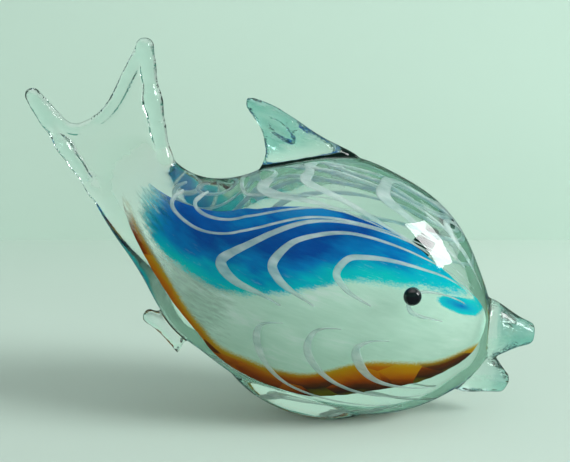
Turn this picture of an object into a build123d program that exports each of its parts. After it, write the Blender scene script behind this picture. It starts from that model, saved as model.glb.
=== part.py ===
from build123d import *
import math
import os

# A hot-worked art glass fish, standing on its belly with its tail in the air.
# Millimetres. +X runs towards the head, +Z is up, and the fish's left side is +Y.
# The origin is the middle of the flat that is ground on the belly.

# The body: an egg of glass around a straight axis, which slopes down to the mouth
body_length = 142.0
body_height = 98.0
body_thickness = 64.0
body_tilt = 20.0

# The bend that lifts the tail out of the line of the body
bend_start = 36.0
bend_radius = 69.0
bend_angle = 55.0

# The tail, drawn flat from the hot casing, cut to a fork and fire-polished
tail_length = 56.0
tail_spread = 50.0
tail_lean = 62.0
rear_rim_width = 6.0
front_rim_width = 6.6
fork_rim_width = 5.0
fork_rear_radius = 9.0
fork_front_radius = 14.0
tail_web = 3.6

# Clear glass of the casing over the inner gather
casing_over_back = 10.0
casing_under_belly = 4.0
casing_at_flanks = 7.0

# Clear glass of the inner gather over the core
gather_over_core = 15.5
gather_under_core = 8.5
gather_at_flanks = 6.0

# The coats of blue and amber glass on the core
colour_coat = 0.8

# The white threads, trailed around the inner gather and combed towards the head
thread_thickness = 0.4
thread_width = 2.9
thread_end_width = 0.7

# The dorsal fin, a swept horn pinched to a thin web
fin_height = 22.0
fin_sweep = 22.5
fin_root_length = 36.0
fin_root_thickness = 14.0
fin_web = 2.6
fin_pinch_length = 17.0
fin_pinch_width = 7.6
fin_pinch_slope = 42.0

# The lips, two cones drawn out of the mouth
lip_seat = 6.0
upper_lip_length = 19.3
upper_lip_root = 25.0
upper_lip_tip = 9.4
upper_lip_rise = 7.4
upper_lip_setback = 3.4
upper_lip_slope = 6.0
lower_lip_length = 15.0
lower_lip_root = 21.0
lower_lip_tip = 8.6
lower_lip_drop = 8.4
lower_lip_setback = 7.2
lower_lip_slope = 28.5

# The anal fin, a flat nub pulled out of the belly behind
anal_fin_length = 13.5
anal_fin_root = 18.0
anal_fin_tip = 4.6
anal_fin_seat = 5.0
anal_fin_slope = 25.0

# The clear pad laid under the belly, part of an ellipsoid, ground flat where it stands
pad_length = 68.0
pad_width = 40.0
pad_thickness = 4.5
pad_setback = 8.0
pad_ground_off = 1.2

# The eyes, black beads pressed into the hot casing
eye_diameter = 6.8
eye_sunk = 4.2
eye_rise = 15.4

# Widths of the flattened pieces as shares of their heights
lip_flatness_share = 0.84
anal_fin_flatness_share = 0.6

# Ellipses of the casing from the mouth to the root of the tail: place along the spine,
# then rise and height as shares of the body's height, and thickness as one of its own
casing_shares = [
    (0.012, -0.030, 0.150, 0.180),
    (0.040, -0.020, 0.345, 0.400),
    (0.087, -0.012, 0.547, 0.590),
    (0.145, 0.003, 0.736, 0.775),
    (0.245, 0.019, 0.922, 0.936),
    (0.335, 0.022, 0.990, 1.000),
    (0.451, 0.024, 1.000, 0.985),
    (0.532, 0.014, 0.918, 0.900),
    (0.601, -0.006, 0.800, 0.780),
    (0.660, -0.015, 0.690, 0.640),
    (0.736, 0.000, 0.515, 0.450),
    (0.818, -0.005, 0.395, 0.300),
    (0.904, -0.010, 0.345, 0.190),
    (1.000, 0.000, 0.330, 0.050),
]
eye_row, pad_row, fin_row, anal_fin_row = 4, 5, 7, 9

# The same for the clear gather inside, with its rise as a share of its sink
gather_shares = [
    (0.045, 0.570, 0.220, 0.240),
    (0.072, 0.570, 0.410, 0.440),
    (0.116, 0.640, 0.610, 0.620),
    (0.185, 0.790, 0.810, 0.800),
    (0.289, 0.950, 0.960, 0.960),
    (0.405, 1.020, 1.000, 1.000),
    (0.509, 1.020, 0.932, 0.900),
    (0.601, 1.080, 0.757, 0.740),
    (0.660, 1.020, 0.620, 0.600),
    (0.736, 0.640, 0.460, 0.440),
    (0.818, 0.450, 0.330, 0.290),
    (0.900, 0.320, 0.210, 0.180),
    (0.950, 0.260, 0.110, 0.100),
]
# The same for the opal core
core_shares = [
    (0.070, -0.474, 0.167, 0.200),
    (0.100, -0.345, 0.353, 0.420),
    (0.156, 0.075, 0.545, 0.660),
    (0.243, 0.323, 0.790, 0.870),
    (0.358, 0.798, 1.000, 1.000),
    (0.474, 1.132, 0.992, 0.970),
    (0.566, 1.455, 0.842, 0.815),
    (0.640, 1.240, 0.648, 0.605),
    (0.720, 0.841, 0.457, 0.420),
    (0.800, 0.668, 0.310, 0.263),
    (0.870, 0.496, 0.190, 0.158),
    (0.920, 0.291, 0.092, 0.095),
]
# Lower edge of the blue and upper edge of the amber, from the tail to the head: place
# along the spine, then height over it as a share of the core's height
blue_edge_shares = [
    (1.000, 0.050),
    (0.935, 0.033),
    (0.877, -0.020),
    (0.822, -0.100),
    (0.716, -0.163),
    (0.606, -0.153),
    (0.548, -0.097),
    (0.473, 0.010),
    (0.369, 0.180),
    (0.271, 0.232),
    (0.185, 0.250),
    (0.090, 0.260),
    (0.040, 0.300),
]
amber_edge_shares = [
    (1.000, -0.010),
    (0.924, -0.050),
    (0.843, -0.117),
    (0.704, -0.250),
    (0.600, -0.445),
    (0.520, -0.490),
    (0.410, -0.463),
    (0.312, -0.293),
    (0.214, -0.187),
    (0.130, -0.103),
    (0.081, -0.015),
    (0.046, 0.033),
]
# Middles of the tail's rims, as shares of its length and spread, from its root
tail_root_share = 0.845
rear_rim_shares = [(-0.25, -0.245), (0.40, -0.345), (0.95, -0.375)]
front_rim_shares = [(-0.25, 0.110), (0.30, 0.290), (0.88, 0.530)]
fork_rim_shares = [(0.90, -0.370), (0.60, -0.260), (0.60, 0.040), (0.885, 0.510)]

# Level ovals of the dorsal fin from its seat in the casing to its tip: shares of its
# height and sweep, then of its root's length and thickness
fin_shares = [
    (-0.320, 0.000, 1.200, 1.150),
    (0.020, 0.000, 0.950, 1.000),
    (0.250, 0.220, 0.690, 0.790),
    (0.440, 0.400, 0.520, 0.620),
    (0.630, 0.585, 0.420, 0.500),
    (0.770, 0.740, 0.350, 0.420),
    (0.900, 0.885, 0.235, 0.330),
    (0.985, 0.990, 0.080, 0.150),
]
fin_pinch_place_shares = (0.50, 0.56)

# Loops of thread: place of the round end as a share of the body's length, heights of
# that end and of both arms' ends as shares of the gather's height, then each arm's reach
comb_bluntness_share = 0.75
flank_loop_shares = [
    (-0.285, 0.018, 0.320, -0.048, 0.20, 0.14),
    (-0.162, 0.100, 0.333, 0.012, 0.36, 0.10),
    (-0.007, 0.167, 0.277, 0.083, 0.29, 0.09),
    (-0.130, -0.200, -0.120, -0.390, 0.06, 0.20),
    (-0.004, -0.155, -0.050, -0.315, 0.06, 0.20),
    (0.115, -0.125, -0.036, -0.244, 0.07, 0.17),
]
back_loop_shares = [
    (-0.240, 0.0, 0.145, -0.145, 0.20, 0.20),
    (-0.137, 0.0, 0.145, -0.145, 0.24, 0.24),
    (0.045, 0.0, 0.130, -0.130, 0.22, 0.22),
    (0.170, 0.0, 0.100, -0.100, 0.17, 0.17),
]
belly_loop_shares = [
    (-0.200, 0.0, 0.088, -0.088, 0.22, 0.22),
    (-0.060, 0.0, 0.110, -0.110, 0.22, 0.22),
    (0.080, 0.0, 0.097, -0.097, 0.22, 0.22),
]

# Shares of the lips and the anal fin: place of the cone's waist, rounding of the tips
lip_waist_share = 0.45
lip_tip_share = 0.38
anal_fin_waist_share = 0.72
anal_fin_tip_share = 0.15

# Sizes that follow
tilt = math.radians(body_tilt)
spine_length = body_length / 2 + bend_start + bend_radius * math.radians(bend_angle)
gather_height = body_height - casing_over_back - casing_under_belly
gather_thickness = body_thickness - 2 * casing_at_flanks
gather_sink = (casing_under_belly - casing_over_back) / 2 + casing_shares[eye_row][1] * body_height
core_height = gather_height - gather_over_core - gather_under_core
core_thickness = gather_thickness - 2 * gather_at_flanks
core_sink = gather_sink + (gather_under_core - gather_over_core) / 2


# The middle of the pad's ellipsoid, seen from the middle of the body in its side view
pad_place, pad_rise, pad_tall, pad_thick = casing_shares[pad_row]
pad_ahead = body_length / 2 - pad_place * spine_length - pad_setback
pad_below = (pad_tall / 2 - pad_rise) * body_height + pad_thickness - pad_width / 2

# How deep the tilted ellipsoid reaches, and how far ahead of its middle its flat lies
pad_depth = math.hypot(pad_length / 2 * math.sin(tilt), pad_width / 2 * math.cos(tilt))
pad_swell = (pad_length**2 - pad_width**2) / 4 * math.sin(tilt) * math.cos(tilt) / pad_depth
flat_ahead = pad_swell * (1 - pad_ground_off / pad_depth)
body_middle_setback = pad_ahead * math.cos(tilt) - pad_below * math.sin(tilt) + flat_ahead
body_middle_height = (
    pad_ahead * math.sin(tilt) + pad_below * math.cos(tilt) + pad_depth - pad_ground_off
)

# The side view of the body, with its own X along the axis and its own Y up the back
side_view = Plane(
    origin=(-body_middle_setback, 0, body_middle_height),
    x_dir=(math.cos(tilt), 0, -math.sin(tilt)),
    z_dir=(0, -1, 0),
)
# The same body seen from above, with its own Y towards the fish's left
top_view = Plane(origin=side_view.origin, x_dir=side_view.x_dir, z_dir=side_view.y_dir)

with BuildLine(side_view) as spine:
    axis = Line((body_length / 2, 0), (-bend_start, 0))
    JernArc(axis @ 1, axis % 1, bend_radius, -bend_angle)
spine_wire = spine.wires()[0]


def across(place):
    """The plane square to the spine at a share of its length, with its Y up the back."""
    return Plane(origin=spine_wire @ place, x_dir=(0, -1, 0), z_dir=spine_wire % place)


def egg(shares, lift, height, thickness, coat=0.0):
    """A closed body of ellipses along the spine, each a coat larger all round."""
    slices = []
    for place, rise, tall, thick in shares:
        with BuildSketch(across(place)) as slice:
            with Locations((0, rise * lift)):
                Ellipse(thick * thickness / 2 + coat, tall * height / 2 + coat)
        slices.append(slice.sketch)
    loft(slices)


def scaled(shares, along, up):
    """Points of an outline from its shares of two sizes."""
    return [(x * along, y * up) for x, y in shares]


def coat_edge(shares):
    """A coat's edge in the side view, bent with the spine that its places lie along."""
    points = [across(place).from_local_coords((0, up * core_height)) for place, up in shares]
    return Spline([side_view.to_local_coords(point) for point in points])


# Whole outlines, which the real pieces are cut from
with BuildPart() as core_form:
    egg(core_shares, core_sink, core_height, core_thickness)

with BuildPart() as coated_core_form:
    egg(core_shares, core_sink, core_height, core_thickness, colour_coat)

with BuildPart() as gather_form:
    egg(gather_shares, gather_sink, gather_height, gather_thickness)

with BuildPart() as threaded_form:
    egg(gather_shares, gather_sink, gather_height, gather_thickness, thread_thickness)

with BuildPart() as body_form:
    egg(casing_shares, body_height, body_height, body_thickness)


lean = math.radians(tail_lean)
tail_view = Plane(
    origin=spine_wire @ tail_root_share,
    x_dir=(-math.cos(lean), 0, math.sin(lean)),
    z_dir=(0, 1, 0),
)


def rod(path, width):
    """A round rod of glass along a path."""
    with BuildSketch(Plane(origin=path @ 0, x_dir=(0, 1, 0), z_dir=path % 0)) as circle:
        Circle(width / 2)
    sweep(circle.sketch, path=path)


with BuildPart() as tail_form:
    with BuildLine(tail_view) as rear_rim:
        ThreePointArc(*scaled(rear_rim_shares, tail_length, tail_spread))
    with BuildLine(tail_view) as front_rim:
        ThreePointArc(*scaled(front_rim_shares, tail_length, tail_spread))
    with BuildLine(tail_view) as fork_rim:
        fork_points = scaled(fork_rim_shares, tail_length, tail_spread)
        FilletPolyline(*fork_points, radius=[fork_rear_radius, fork_front_radius])
    # The web, pressed thin, runs out to the middles of the rims
    with BuildSketch(tail_view):
        with BuildLine():
            ThreePointArc(*scaled(rear_rim_shares, tail_length, tail_spread))
            FilletPolyline(*fork_points, radius=[fork_rear_radius, fork_front_radius])
            ThreePointArc(*scaled(front_rim_shares, tail_length, tail_spread))
            Line(*scaled((rear_rim_shares[-1], fork_rim_shares[0]), tail_length, tail_spread))
            Line(*scaled((fork_rim_shares[-1], front_rim_shares[-1]), tail_length, tail_spread))
            Line(*scaled((front_rim_shares[0], rear_rim_shares[0]), tail_length, tail_spread))
        make_face()
    extrude(amount=tail_web / 2, both=True)
    # Round rims stand proud of it on both faces and end in the lobes' round tips
    rod(rear_rim.wires()[0], rear_rim_width)
    rod(front_rim.wires()[0], front_rim_width)
    rod(fork_rim.wires()[0], fork_rim_width)
    with Locations(rear_rim.wires()[0] @ 1):
        Sphere(rear_rim_width / 2)
    with Locations(front_rim.wires()[0] @ 1):
        Sphere(front_rim_width / 2)

with BuildPart() as casing_form:
    add(body_form.part)
    add(tail_form.part)

# The milky core
with BuildPart() as milky_core:
    add(core_form.part)
milky_core.part.label = "milky_core"

# Blue glass laid over the back of the core
with BuildPart() as blue_back:
    with BuildSketch(side_view):
        with BuildLine():
            edge = coat_edge(blue_edge_shares)
            Polyline(edge @ 1, ((edge @ 1).X, core_height), ((edge @ 0).X, core_height), edge @ 0)
        make_face()
    extrude(amount=core_thickness, both=True)
    add(coated_core_form.part, mode=Mode.INTERSECT)
    add(core_form.part, mode=Mode.SUBTRACT)
blue_back.part.label = "blue_back"

# Amber glass laid under its belly
with BuildPart() as amber_belly:
    with BuildSketch(side_view):
        with BuildLine():
            edge = coat_edge(amber_edge_shares)
            Polyline(edge @ 1, ((edge @ 1).X, -core_height), ((edge @ 0).X, -core_height), edge @ 0)
        make_face()
    extrude(amount=core_thickness, both=True)
    add(coated_core_form.part, mode=Mode.INTERSECT)
    add(core_form.part, mode=Mode.SUBTRACT)
amber_belly.part.label = "amber_belly"


def casing_point(row, side):
    """A point of the casing's outline in the mid plane: on the back (1) or belly (-1)."""
    place, rise, tall, thick = casing_shares[row]
    return across(place).from_local_coords((0, (rise + side * tall / 2) * body_height))


# The dorsal fin
fin_root = casing_point(fin_row, 1)
with BuildPart() as dorsal_fin:
    for up, back, long, thick in fin_shares:
        with BuildSketch(Plane(fin_root + Vector(-back * fin_sweep, 0, up * fin_height))):
            Ellipse(long * fin_root_length / 2, thick * fin_root_thickness / 2)
    loft()
    # Pinched with round-nosed tweezers from both sides, down to a thin web
    slope = math.radians(fin_pinch_slope)
    back, up = fin_pinch_place_shares
    pinch = fin_root + Vector(-back * fin_sweep, 0, up * fin_height)
    for side in (1, -1):
        middle = pinch + Vector(0, side * (fin_web + fin_pinch_width) / 2, 0)
        nose = Plane(origin=middle, x_dir=(math.cos(slope), 0, -math.sin(slope)), z_dir=(0, -1, 0))
        with BuildSketch(nose):
            with BuildLine():
                half = EllipticalCenterArc(
                    (0, 0), fin_pinch_length / 2, fin_pinch_width / 2, arc_size=180
                )
                Line(half @ 1, half @ 0)
            make_face()
        revolve(axis=Axis(middle, nose.x_dir), mode=Mode.SUBTRACT)
    add(casing_form.part, mode=Mode.SUBTRACT)
dorsal_fin.part.label = "dorsal_fin"


def lip(middle, slope, length, root, tip):
    """A cone of flattened ovals from a seat inside the mouth to a round tip."""
    turned = math.radians(slope)
    forward = Vector(math.cos(turned), 0, -math.sin(turned))
    ovals = []
    waist = (root + tip) / 2
    for along, height in (
        (-lip_seat, root),
        (0, root),
        (length * lip_waist_share, waist),
        (length, tip),
    ):
        plane = Plane(origin=middle + forward * along, x_dir=(0, 1, 0), z_dir=forward)
        with BuildSketch(plane) as oval:
            Ellipse(height * lip_flatness_share / 2, height / 2)
        ovals.append(oval.sketch)
    loft(ovals)


mouth = spine_wire @ 0
with BuildPart() as upper_lip:
    lip(
        mouth + Vector(-upper_lip_setback, 0, upper_lip_rise),
        upper_lip_slope,
        upper_lip_length,
        upper_lip_root,
        upper_lip_tip,
    )
    fillet(upper_lip.edges().sort_by(Axis.X)[-1], upper_lip_tip * lip_tip_share)
    add(casing_form.part, mode=Mode.SUBTRACT)
upper_lip.part.label = "upper_lip"

with BuildPart() as lower_lip:
    lip(
        mouth + Vector(-lower_lip_setback, 0, -lower_lip_drop),
        lower_lip_slope,
        lower_lip_length,
        lower_lip_root,
        lower_lip_tip,
    )
    fillet(lower_lip.edges().sort_by(Axis.X)[-1], lower_lip_tip * lip_tip_share)
    add(casing_form.part, mode=Mode.SUBTRACT)
    add(upper_lip.part, mode=Mode.SUBTRACT)
lower_lip.part.label = "lower_lip"

# The anal fin
belly_behind = casing_point(anal_fin_row, -1)
with BuildPart() as anal_fin:
    turned = math.radians(anal_fin_slope)
    backward = Vector(-math.cos(turned), 0, math.sin(turned))
    for along, height in (
        (-anal_fin_seat, anal_fin_root),
        (0, anal_fin_root * anal_fin_waist_share),
        (anal_fin_length, anal_fin_tip),
    ):
        with BuildSketch(Plane(belly_behind + backward * along, x_dir=(0, 1, 0), z_dir=backward)):
            Ellipse(height * anal_fin_flatness_share / 2, height / 2)
    loft()
    fillet(anal_fin.edges().sort_by(Axis.X)[0], anal_fin_tip * anal_fin_tip_share)
    add(casing_form.part, mode=Mode.SUBTRACT)
anal_fin.part.label = "anal_fin"

# The belly pad
with BuildPart() as belly_pad:
    with BuildSketch(side_view):
        with Locations((pad_ahead, -pad_below)):
            Ellipse(pad_length / 2, pad_width / 2)
            Rectangle(pad_length, pad_width, align=(Align.CENTER, Align.MIN), mode=Mode.SUBTRACT)
    pad_middle = side_view.from_local_coords((pad_ahead, -pad_below))
    revolve(axis=Axis(pad_middle, side_view.x_dir))
    add(body_form.part, mode=Mode.SUBTRACT)
    split(bisect_by=Plane.XY, keep=Keep.TOP)
belly_pad.part.label = "belly_pad"

# The eyes, on the flanks in line with one ellipse of the casing, poles looking sideways
eye_place, eye_lift, eye_tall, eye_thick = casing_shares[eye_row]
eye_off_middle = (eye_rise - eye_lift * body_height) / (eye_tall * body_height / 2)
eye_out = eye_thick * body_thickness / 2 * math.sqrt(1 - eye_off_middle**2)
eye_level = across(eye_place).from_local_coords((0, eye_rise))
eye_seat = Vector(0, eye_out + eye_diameter / 2 - eye_sunk, 0)
with BuildPart() as right_eye:
    with Locations(eye_level - eye_seat):
        Sphere(eye_diameter / 2, rotation=(90, 0, 0))
right_eye.part.label = "right_eye"

with BuildPart() as left_eye:
    with Locations(eye_level + eye_seat):
        Sphere(eye_diameter / 2, rotation=(90, 0, 0))
left_eye.part.label = "left_eye"


def comb_curve(apex, middle, top, low, reaches):
    """A U that opens to the head: swept by a power of 1 - cos, opened by sin."""
    points = []
    for angle in range(-90, 91, 30):
        swept = (1 - math.cos(math.radians(angle))) ** comb_bluntness_share
        opened = math.sin(math.radians(angle))
        arm, reach = (top - middle, reaches[0]) if opened > 0 else (middle - low, reaches[1])
        points.append((apex + reach * swept, middle + arm * opened))
    return Spline(points)


def comb_loop(apex_share, middle_share, top_share, low_share, *reach_shares):
    """A combed loop of thread, thick at its round end, thin at the ends of its arms."""
    apex = apex_share * body_length
    middle = middle_share * gather_height
    top = top_share * gather_height
    low = low_share * gather_height
    reaches = [share * body_length for share in reach_shares]
    with BuildSketch() as loop:
        with BuildLine():
            outer = comb_curve(apex, middle, top, low, reaches)
            inner = comb_curve(
                apex + thread_width,
                middle,
                top - thread_end_width,
                low + thread_end_width,
                [reach - thread_width for reach in reaches],
            )
            Line(outer @ 0, inner @ 0)
            Line(outer @ 1, inner @ 1)
        make_face()
    return loop.sketch


# The white threads, one group of loops for each row
with BuildPart() as flank_threads:
    with BuildSketch(side_view):
        for shares in flank_loop_shares:
            add(comb_loop(*shares))
    extrude(amount=gather_thickness, both=True)
    add(gather_form.part, mode=Mode.SUBTRACT)
    add(threaded_form.part, mode=Mode.INTERSECT)
flank_threads.part.label = "flank_threads"

with BuildPart() as back_threads:
    with BuildSketch(top_view):
        for shares in back_loop_shares:
            add(comb_loop(*shares))
    extrude(amount=gather_height)
    add(gather_form.part, mode=Mode.SUBTRACT)
    add(threaded_form.part, mode=Mode.INTERSECT)
back_threads.part.label = "back_threads"

with BuildPart() as belly_threads:
    with BuildSketch(top_view):
        for shares in belly_loop_shares:
            add(comb_loop(*shares))
    extrude(amount=-gather_height)
    add(gather_form.part, mode=Mode.SUBTRACT)
    add(threaded_form.part, mode=Mode.INTERSECT)
belly_threads.part.label = "belly_threads"

# The clear inner gather, over the coated core
with BuildPart() as clear_gather:
    add(gather_form.part)
    add(core_form.part, mode=Mode.SUBTRACT)
    add(blue_back.part, mode=Mode.SUBTRACT)
    add(amber_belly.part, mode=Mode.SUBTRACT)
clear_gather.part.label = "clear_gather"

# The clear casing over everything, with the tail drawn out of it
with BuildPart() as clear_casing:
    add(casing_form.part)
    add(right_eye.part, mode=Mode.SUBTRACT)
    add(left_eye.part, mode=Mode.SUBTRACT)
    add(threaded_form.part, mode=Mode.SUBTRACT)
clear_casing.part.label = "clear_casing"

os.makedirs("parts", exist_ok=True)
export_step(clear_casing.part, "parts/clear_casing.step")
export_step(clear_gather.part, "parts/clear_gather.step")
export_step(milky_core.part, "parts/milky_core.step")
export_step(blue_back.part, "parts/blue_back.step")
export_step(amber_belly.part, "parts/amber_belly.step")
export_step(flank_threads.part, "parts/flank_threads.step")
export_step(back_threads.part, "parts/back_threads.step")
export_step(belly_threads.part, "parts/belly_threads.step")
export_step(dorsal_fin.part, "parts/dorsal_fin.step")
export_step(anal_fin.part, "parts/anal_fin.step")
export_step(upper_lip.part, "parts/upper_lip.step")
export_step(lower_lip.part, "parts/lower_lip.step")
export_step(belly_pad.part, "parts/belly_pad.step")
export_step(right_eye.part, "parts/right_eye.step")
export_step(left_eye.part, "parts/left_eye.step")
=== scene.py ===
import bpy
import math
import numpy as np
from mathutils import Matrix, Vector


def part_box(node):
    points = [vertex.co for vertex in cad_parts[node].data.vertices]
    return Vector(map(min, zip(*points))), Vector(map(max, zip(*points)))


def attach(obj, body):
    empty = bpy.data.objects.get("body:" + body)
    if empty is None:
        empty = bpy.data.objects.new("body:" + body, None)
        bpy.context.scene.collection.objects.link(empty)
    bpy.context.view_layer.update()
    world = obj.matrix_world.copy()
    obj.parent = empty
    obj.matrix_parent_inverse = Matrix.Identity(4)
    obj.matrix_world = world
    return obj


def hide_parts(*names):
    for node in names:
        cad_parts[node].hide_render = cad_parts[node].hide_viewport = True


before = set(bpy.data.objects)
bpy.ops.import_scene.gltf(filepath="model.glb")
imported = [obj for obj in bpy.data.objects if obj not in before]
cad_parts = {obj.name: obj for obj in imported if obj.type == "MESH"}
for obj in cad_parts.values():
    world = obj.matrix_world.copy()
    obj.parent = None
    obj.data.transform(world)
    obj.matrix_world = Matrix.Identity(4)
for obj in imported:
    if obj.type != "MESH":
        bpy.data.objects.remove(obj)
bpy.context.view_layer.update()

# A hot-worked glass fish: clear glass over a core with blue and amber coats and combed
# white threads. Sizes are in millimetres and become metres when a mesh is made.
MM = 0.001
SIDE = np.array([0.0, 1.0, 0.0])

# The spine in side view: a straight line that slopes down to the nose, then an arc up to the tail.
# BODY_MIDDLE is the X and Z of the point from which u runs to the nose and v up to the back
TILT = math.radians(20.0)
BODY_MIDDLE = (-4.511, 51.592)
NOSE = 71.0
SPINE_STRAIGHT = 107.0
BEND_RADIUS = 69.0
BEND_ANGLE = math.radians(55.0)
SPINE_LENGTH = SPINE_STRAIGHT + BEND_RADIUS * BEND_ANGLE

# Ellipses along the spine: place, rise, height and thickness as shares
CASING = np.array([
    (0.0055, -0.030, 0.000, 0.000), (0.012, -0.030, 0.150, 0.180), (0.040, -0.020, 0.345, 0.400),
    (0.087, -0.012, 0.547, 0.590), (0.145, 0.003, 0.736, 0.775), (0.245, 0.019, 0.922, 0.936),
    (0.335, 0.022, 0.990, 1.000), (0.451, 0.024, 1.000, 0.985), (0.532, 0.014, 0.918, 0.900),
    (0.601, -0.006, 0.800, 0.780), (0.660, -0.015, 0.690, 0.640), (0.736, 0.000, 0.515, 0.450),
    (0.818, -0.005, 0.395, 0.280), (0.904, -0.010, 0.345, 0.140), (1.000, 0.000, 0.330, 0.045)])
GATHER = np.array([
    (0.034, 0.570, 0.000, 0.000), (0.045, 0.570, 0.220, 0.240), (0.072, 0.570, 0.410, 0.440),
    (0.116, 0.640, 0.610, 0.620), (0.185, 0.790, 0.810, 0.800), (0.289, 0.950, 0.960, 0.960),
    (0.405, 1.020, 1.000, 1.000), (0.509, 1.020, 0.932, 0.900), (0.601, 1.080, 0.757, 0.740),
    (0.660, 1.020, 0.620, 0.600), (0.736, 0.640, 0.460, 0.440), (0.818, 0.450, 0.330, 0.290),
    (0.900, 0.320, 0.210, 0.180), (0.950, 0.260, 0.110, 0.100), (0.969, 0.250, 0.000, 0.000)])
CORE = np.array([
    (0.0643, -0.474, 0.000, 0.000), (0.070, -0.474, 0.167, 0.200), (0.100, -0.345, 0.353, 0.420),
    (0.156, 0.075, 0.545, 0.660), (0.243, 0.323, 0.790, 0.870), (0.358, 0.798, 1.000, 1.000),
    (0.474, 1.132, 0.992, 0.970), (0.566, 1.455, 0.842, 0.815), (0.640, 1.240, 0.648, 0.605),
    (0.720, 0.841, 0.457, 0.420), (0.800, 0.668, 0.310, 0.263), (0.870, 0.496, 0.190, 0.158),
    (0.920, 0.291, 0.092, 0.095), (0.942, 0.280, 0.000, 0.000)])
# What the shares are of: rise, height, thickness
CASING_SIZE = (98.0, 98.0, 64.0)
GATHER_SIZE = (-1.138, 84.0, 50.0)
CORE_SIZE = (-4.638, 61.6, 39.6)


def natural_spline(places, values, at):
    """Natural cubic spline: continuous curvature through every given value."""
    count = len(places)
    step = np.diff(places)
    slope = np.diff(values) / step
    system = np.eye(count)
    right = np.zeros(count)
    inner = np.arange(1, count - 1)
    system[inner, inner - 1] = step[:-1]
    system[inner, inner] = 2 * (step[:-1] + step[1:])
    system[inner, inner + 1] = step[1:]
    right[inner] = 6 * (slope[1:] - slope[:-1])
    bend = np.linalg.solve(system, right)
    k = np.clip(np.searchsorted(places, at) - 1, 0, count - 2)
    a = (places[k + 1] - at) / step[k]
    b = 1 - a
    cubic = ((a**3 - a) * bend[k] + (b**3 - b) * bend[k + 1]) * step[k] ** 2 / 6
    return a * values[k] + b * values[k + 1] + cubic


def section(rows, size, place):
    """Rise, half height and half thickness of an egg at a place. The squares of the height and
    thickness shares are splined, which makes the egg's ends round."""
    place = np.clip(place, rows[0, 0], rows[-1, 0])
    rise = natural_spline(rows[:, 0], rows[:, 1], place) * size[0]
    tall = np.sqrt(np.maximum(natural_spline(rows[:, 0], rows[:, 2] ** 2, place), 0)) * size[1] / 2
    thick = np.sqrt(np.maximum(natural_spline(rows[:, 0], rows[:, 3] ** 2, place), 0)) * size[2] / 2
    return rise, tall, thick


def from_side_view(u, v, y):
    """Turn along-the-body u and up-the-back v by the tilt, into the model's X, Y, Z."""
    x = BODY_MIDDLE[0] + u * math.cos(TILT) + v * math.sin(TILT)
    z = BODY_MIDDLE[1] - u * math.sin(TILT) + v * math.cos(TILT)
    return np.stack(np.broadcast_arrays(x, y, z), axis=-1)


def to_side_view(points):
    """The other way: u and v of points given as X, Y, Z."""
    x, z = points[:, 0] - BODY_MIDDLE[0], points[:, 2] - BODY_MIDDLE[1]
    return x * math.cos(TILT) - z * math.sin(TILT), x * math.sin(TILT) + z * math.cos(TILT)


def off_spine(place, up):
    """Side view position at a share of the spine and a height above it: line, then arc."""
    s = np.asarray(place) * SPINE_LENGTH
    turned = np.clip((s - SPINE_STRAIGHT) / BEND_RADIUS, 0, None)
    u = NOSE - np.minimum(s, SPINE_STRAIGHT) - (BEND_RADIUS - up) * np.sin(turned)
    v = BEND_RADIUS - (BEND_RADIUS - up) * np.cos(turned)
    return u, v


def to_spine(u, v):
    """The other way: share of the spine and height above it for a side view position."""
    bend_start = NOSE - SPINE_STRAIGHT
    turned = np.arctan2(np.maximum(bend_start - u, 0), BEND_RADIUS - v)
    straight = u >= bend_start
    along = np.where(straight, NOSE - u, SPINE_STRAIGHT + BEND_RADIUS * turned)
    out = np.hypot(np.minimum(u - bend_start, 0), BEND_RADIUS - v)
    return along / SPINE_LENGTH, np.where(straight, v, BEND_RADIUS - out)


def egg_point(rows, size, place, angle, proud=0.0):
    """A point of an egg: its section at place is an ellipse, angle 0 at +Y and 90 on the back.
    Proud is a distance outside the egg."""
    rise, tall, thick = section(rows, size, place)
    u, v = off_spine(place, rise + (tall + proud) * np.sin(angle))
    return from_side_view(u, v, (thick + proud) * np.cos(angle))


def whole_turn(count):
    """Angles of points that are spread evenly round a ring."""
    return np.arange(count) * 2 * np.pi / count


def egg_rings(rows, size, along=160, around=96, last=None):
    """Rings of an egg; places follow a cosine, so that they crowd at its round ends."""
    end = rows[-1, 0] if last is None else last
    t = (1 - np.cos(np.pi * (np.arange(along) + 0.5) / along)) / 2
    place = rows[0, 0] + (end - rows[0, 0]) * t
    return egg_point(rows, size, place[:, None], whole_turn(around)[None, :])


def oval_rings(centres, first, second, around):
    """A ring round each centre: first times the cosine plus second times the sine of an angle,
    so that the vectors first and second are the half axes of an oval."""
    angle = whole_turn(around)[None, :, None]
    return centres[:, None] + first[:, None] * np.cos(angle) + second[:, None] * np.sin(angle)


def closed_tube(rings):
    """Vertices and triangles of a stack of rings, closed at both ends by a fan. A negative
    volume shows that the faces point inwards, and turns them round."""
    count, around = rings.shape[:2]
    points = np.concatenate([rings.reshape(-1, 3), rings[:1].mean(1), rings[-1:].mean(1)])
    i, j = np.meshgrid(np.arange(count - 1), np.arange(around), indexing="ij")
    a, b = i * around + j, i * around + (j + 1) % around
    c, d = b + around, a + around
    sides = np.concatenate([np.stack([a, b, c], -1), np.stack([a, c, d], -1)]).reshape(-1, 3)
    j = np.arange(around)
    k = (j + 1) % around
    start = np.stack([np.full(around, count * around), k, j], -1)
    top = (count - 1) * around
    end = np.stack([np.full(around, count * around + 1), top + j, top + k], -1)
    faces = np.concatenate([sides, start, end])
    a, b, c = points[faces[:, 0]], points[faces[:, 1]], points[faces[:, 2]]
    volume = np.einsum("ij,ij->i", a, np.cross(b, c)).sum()
    return points, (faces if volume > 0 else faces[:, ::-1])


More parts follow.
